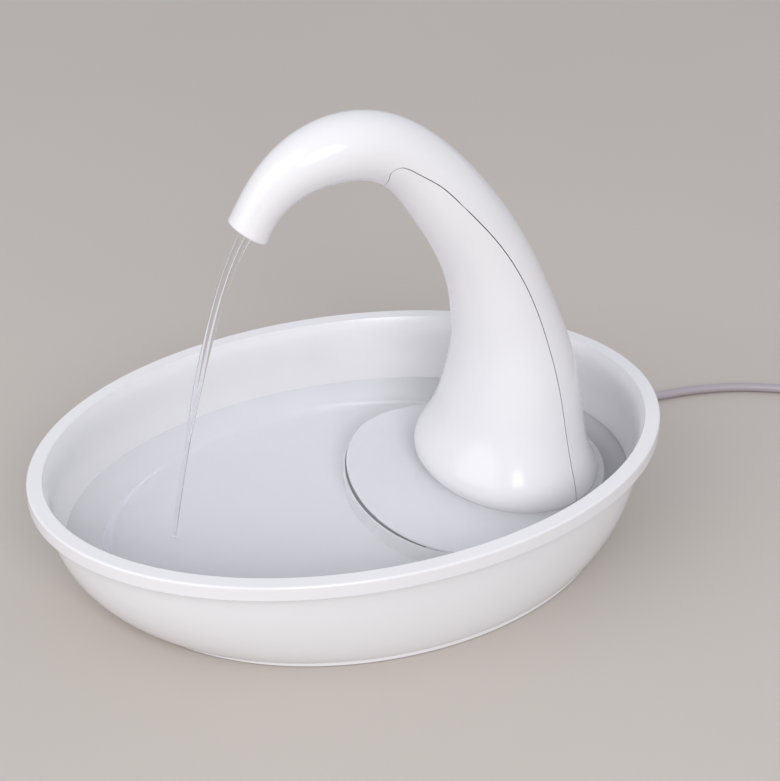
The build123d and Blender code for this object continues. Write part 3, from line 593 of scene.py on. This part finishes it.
class FOUNTAIN_OT_cord(bpy.types.Operator):
    """Mains cord from the strain relief to its coil and plug"""

    bl_idname = "fountain.cord"
    bl_label = "Cord"

    def coil_points(self):
        """Points of the wound turns, one slot of the coil after another."""
        last_slot = len(COIL_SLOTS) - 1
        last_step = last_slot * COIL_STEPS + round((COIL_OUT_TURN - COIL_IN_TURN) / 360 * COIL_STEPS)
        points = []
        for step in range(last_step + 1):
            turn, share = divmod(step / COIL_STEPS, 1.0)
            radius, height = COIL_SLOTS[int(turn)]
            next_radius, next_height = COIL_SLOTS[min(int(turn) + 1, last_slot)]
            moved = max((share - (1 - COIL_SHIFT)) / COIL_SHIFT, 0.0)
            radius += (next_radius - radius) * moved
            height += (next_height - height) * moved
            angle = math.radians(COIL_IN_TURN) + 2 * math.pi * step / COIL_STEPS
            points.append(on_coil(angle, radius, height))
        return points

    def tail_points(self):
        """Straight on from the coil's last turn to the plug, over the turns that it crosses."""
        angle = math.radians(COIL_OUT_TURN)
        ahead = Vector((-math.sin(angle), math.cos(angle), 0))
        outer_radius = COIL_SLOTS[0][0]
        edge = on_coil(angle, outer_radius, 0)
        return [edge + ahead * run + Vector((0, 0, height)) for run, height in COIL_TAIL]

    def cord_curve(self, jacket):
        """A round curve along the route, the coil and the tail."""
        points = CORD_ROUTE + self.coil_points() + self.tail_points()
        data = bpy.data.curves.new("mains_cord", "CURVE")
        data.dimensions = "3D"
        data.bevel_depth = CORD_RADIUS * MM
        data.bevel_resolution = 5
        data.resolution_u = 6
        data.use_fill_caps = True
        spline = data.splines.new("NURBS")
        spline.points.add(len(points) - 1)
        for point, place in zip(spline.points, points):
            point.co = (*(Vector(place) * MM), 1)
        spline.order_u = 3
        spline.use_endpoint_u = True
        data.materials.append(jacket)
        return data

    def execute(self, context):
        color = tuple(context.scene.fountain_finishes.cord_color)
        jacket = moulded("cord_jacket", color, roughness=0.42, grain=1500.0)
        cord = new_object("mains_cord", self.cord_curve(jacket))
        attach(cord, "base")
        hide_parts("power_cord", "cord_coil")
        dress(JACKET_NODES, jacket)
        dress(["plug_body"], moulded("plug_plastic", color, roughness=0.36, grain=700.0))
        dress(["plug_pins"], metal("pin_metal", *PIN_METAL))
        dress(["cord_tie"], moulded("tie_plastic", *TIE_PLASTIC))
        return {"FINISHED"}


class FOUNTAIN_OT_shells(bpy.types.Operator):
    """White gloss of the bowl, lid, neck and housing, with the feet and the screws"""

    bl_idname = "fountain.shells"
    bl_label = "Shells"

    def execute(self, context):
        finishes = context.scene.fountain_finishes
        white = tuple(finishes.shell_color)
        dress(SHELL_NODES, moulded("white_plastic", white, finishes.shell_roughness, mottle=0.985))
        grey = tuple(finishes.foot_color)
        dress(FOOT_NODES, moulded("foot_rubber", grey, roughness=0.6, grain=1800.0, relief=0.00005))
        dress(["neck_screws"], metal("screw_steel", *SCREW_STEEL))
        return {"FINISHED"}


class FOUNTAIN_OT_pump(bpy.types.Operator):
    """Pump, its rotor and the hose"""

    bl_idname = "fountain.pump"
    bl_label = "Pump"

    def execute(self, context):
        black = tuple(context.scene.fountain_finishes.pump_color)
        dress(PUMP_NODES, moulded("pump_plastic", black, roughness=0.42, grain=500.0, relief=0.00006))
        dress(SEAL_NODES, moulded("seal_rubber", *SEAL_RUBBER))
        dress(["impeller"], moulded("impeller_plastic", *IMPELLER_PLASTIC))
        dress(["rotor_magnet"], moulded("magnet", *MAGNET, grain=2500.0))
        dress(["rotor_shaft"], metal("shaft_steel", *SHAFT_STEEL))
        dress(["delivery_hose"], clear_vinyl("hose_vinyl", *HOSE_VINYL))
        return {"FINISHED"}


class FOUNTAIN_OT_filter(bpy.types.Operator):
    """Filter cartridge and foam"""

    bl_idname = "fountain.filter"
    bl_label = "Filter"

    def execute(self, context):
        dress(FILTER_NODES, moulded("filter_frame", *FILTER_PLASTIC))
        dress(["carbon_pad"], open_cell("carbon", *CARBON_FELT))
        dress(["foam_block"], open_cell("foam", *FILTER_FOAM))
        return {"FINISHED"}


class FOUNTAIN_OT_water(bpy.types.Operator):
    """Water in the bowl, with rings where the stream lands"""

    bl_idname = "fountain.water"
    bl_label = "Water"

    segments = 240
    rings = 90
    wall_steps = 8
    # it reaches this far into the wall and the floor, so that no gap shows, in millimetres
    wall_overlap = 0.35
    floor_overlap = 0.05
    # share of the way in from the wall over which the waves rise
    calm_edge = 0.06

    def wall_point(self, angle, height):
        """Point of the water's side, in metres, at an angle and at a height in millimetres."""
        half_x, half_y, middle = bowl_wall(height)
        x = middle + (half_x + self.wall_overlap) * math.cos(angle)
        y = (half_y + self.wall_overlap) * math.sin(angle)
        return Vector((x, y, height)) * MM

    def surface_point(self, angle, share, center, settings):
        """Point of the surface, in metres, at a share of the way from the wall to where the stream lands."""
        edge = self.wall_point(angle, settings.level / MM)
        edge.z = 0
        spot = edge.lerp(center, share)
        waves = ripple_height((spot - center).length, settings) + swell_height(spot.x, spot.y)
        spot.z = settings.level + min(share / self.calm_edge, 1.0) * waves
        return spot

    def execute(self, context):
        settings = context.scene.fountain_water
        level = settings.level / MM
        landing = stream_point(stream_landing(settings), settings)
        center = Vector((landing.x, landing.y, 0))
        mesh = bmesh.new()
        rim, angles = start_ring(mesh, self.segments, lambda angle: self.wall_point(angle, level))
        ring = rim
        for step in range(1, self.rings):
            share = step / self.rings
            ring = grow_ring(
                mesh, ring, angles, lambda angle: self.surface_point(angle, share, center, settings)
            )
        close_ring(mesh, ring)
        ring = rim
        for step in range(1, self.wall_steps + 1):
            height = level + (FLOOR_TOP - self.floor_overlap - level) * step / self.wall_steps
            ring = grow_ring(mesh, ring, angles, lambda angle: self.wall_point(angle, height))
        close_ring(mesh, ring)
        still = water_material("water_pool", tuple(settings.tint), settings.clearness, *POOL_WAVES)
        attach(smooth_piece("water_pool", mesh, still), "base")
        return {"FINISHED"}


class FOUNTAIN_OT_stream(bpy.types.Operator):
    """Stream from the spout to the water, in two pieces"""

    bl_idname = "fountain.stream"
    bl_label = "Stream"

    segments = 48
    steps = 110
    # step at which the upper piece ends and the lower one begins, just above the water
    joint_step = 109
    # shares of the level run: how far inside the spout it starts, and how far ahead its direction is taken
    tuck = 0.01
    lead = 0.001
    # a flat section, turned by facing, with a thick bead along each side, which narrows as it speeds up
    facing = 1.95
    flatness = 0.38
    pinch = 0.30
    thinning = 0.4
    # between these shares of the fall it turns, draws together and becomes nearly round
    rope_start = 0.60
    rope_end = 0.84
    rope_turn = 0.7
    rope_shrink = 0.42
    rope_flatness = 0.88
    # it widens by this much at the water, in metres
    foot = 0.0005

    def half_width(self, height, settings):
        """Half the width of the flat section at a height, which shrinks as the water speeds up."""
        first_speed = settings.stream_speed * math.hypot(1, settings.stream_slope)
        fallen = max(stream_point(0, settings).z - height, 0.0)
        speed = math.sqrt(first_speed**2 + 2 * GRAVITY * fallen)
        return settings.stream_width / 2 * (first_speed / speed) ** self.thinning

    def reach(self, angle, share):
        """The section's reach at an angle and a share of the fall, as a share of its half width."""
        part = min(max((share - self.rope_start) / (self.rope_end - self.rope_start), 0.0), 1.0)
        rope = part * part * (3 - 2 * part)
        turned = angle - self.facing - self.rope_turn * rope
        pinch = self.pinch * (1 - rope)
        waist = (1 + pinch * math.cos(2 * turned)) / (1 + pinch)
        flatness = self.flatness + (self.rope_flatness - self.flatness) * rope
        narrow = flatness + (1 - flatness) * math.cos(turned) ** 2
        return narrow * waist * (1 - self.rope_shrink * rope)

    def skin_point(self, angle, share, settings, landing_run):
        """Point of the stream's skin, at an angle round its centre and a share of the fall."""
        share_run = landing_run * share * (1 + self.tuck)
        middle = stream_point(share_run - landing_run * self.tuck, settings)
        ahead = (stream_point(share_run + landing_run * self.lead, settings) - middle).normalized()
        side = Vector((0, 1, 0))
        up = ahead.cross(side)
        radius = self.half_width(middle.z, settings) * self.reach(angle, share)
        radius += self.foot * math.exp(-max(middle.z - settings.level, 0.0) / self.foot)
        return middle + (side * math.cos(angle) + up * math.sin(angle)) * radius

    def make_part(self, name, material, settings, first_step, last_step):
        """The stream between two of its steps, closed at both ends."""
        landing_run = stream_landing(settings)

        def place(angle, step):
            return self.skin_point(angle, step / self.steps, settings, landing_run)

        mesh = bmesh.new()
        rim, angles = start_ring(mesh, self.segments, lambda angle: place(angle, first_step))
        close_ring(mesh, rim)
        ring = rim
        for step in range(first_step + 1, last_step + 1):
            ring = grow_ring(mesh, ring, angles, lambda angle: place(angle, step))
        close_ring(mesh, ring)
        for edge in rim + ring:
            edge.smooth = False
        return smooth_piece(name, mesh, material)

    def execute(self, context):
        settings = context.scene.fountain_water
        tint = tuple(settings.stream_tint)
        clear = water_material("water_stream", tint, STREAM_CLEARNESS, *STREAM_WAVES)
        upper = self.make_part("water_stream", clear, settings, 0, self.joint_step)
        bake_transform(upper)
        lower = self.make_part("water_stream_foot", clear, settings, self.joint_step, self.steps)
        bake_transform(lower)
        return {"FINISHED"}


# ------------------------------------------------------------------ add-on


class FOUNTAIN_PT_panel(bpy.types.Panel):
    """Fountain's pieces and their settings"""

    bl_idname = "FOUNTAIN_PT_panel"
    bl_label = "Pet Water Fountain"
    bl_space_type = "VIEW_3D"
    bl_region_type = "UI"
    bl_category = "Fountain"

    def draw(self, context):
        for group in GROUPS:
            settings = getattr(context.scene, group)
            box = self.layout.box()
            for name in settings.__annotations__:
                box.prop(settings, name)
        for operator in OPERATORS:
            self.layout.operator(operator.bl_idname)


GROUPS = {
    "fountain_finishes": FountainFinishes,
    "fountain_water": FountainWater,
    "fountain_studio": FountainStudio,
}
OPERATORS = [
    FOUNTAIN_OT_studio,
    FOUNTAIN_OT_cord,
    FOUNTAIN_OT_shells,
    FOUNTAIN_OT_pump,
    FOUNTAIN_OT_filter,
    FOUNTAIN_OT_water,
    FOUNTAIN_OT_stream,
]


def register():
    for name, group in GROUPS.items():
        bpy.utils.register_class(group)
        setattr(bpy.types.Scene, name, bpy.props.PointerProperty(type=group))
    for operator in OPERATORS:
        bpy.utils.register_class(operator)
    bpy.utils.register_class(FOUNTAIN_PT_panel)


def unregister():
    bpy.utils.unregister_class(FOUNTAIN_PT_panel)
    for operator in reversed(OPERATORS):
        bpy.utils.unregister_class(operator)
    for name, group in GROUPS.items():
        delattr(bpy.types.Scene, name)
        bpy.utils.unregister_class(group)


def main():
    register()
    bpy.ops.fountain.studio()
    bpy.ops.fountain.cord()
    bpy.ops.fountain.shells()
    bpy.ops.fountain.pump()
    bpy.ops.fountain.filter()
    bpy.ops.fountain.water()
    bpy.ops.fountain.stream()


if __name__ == "__main__":
    main()
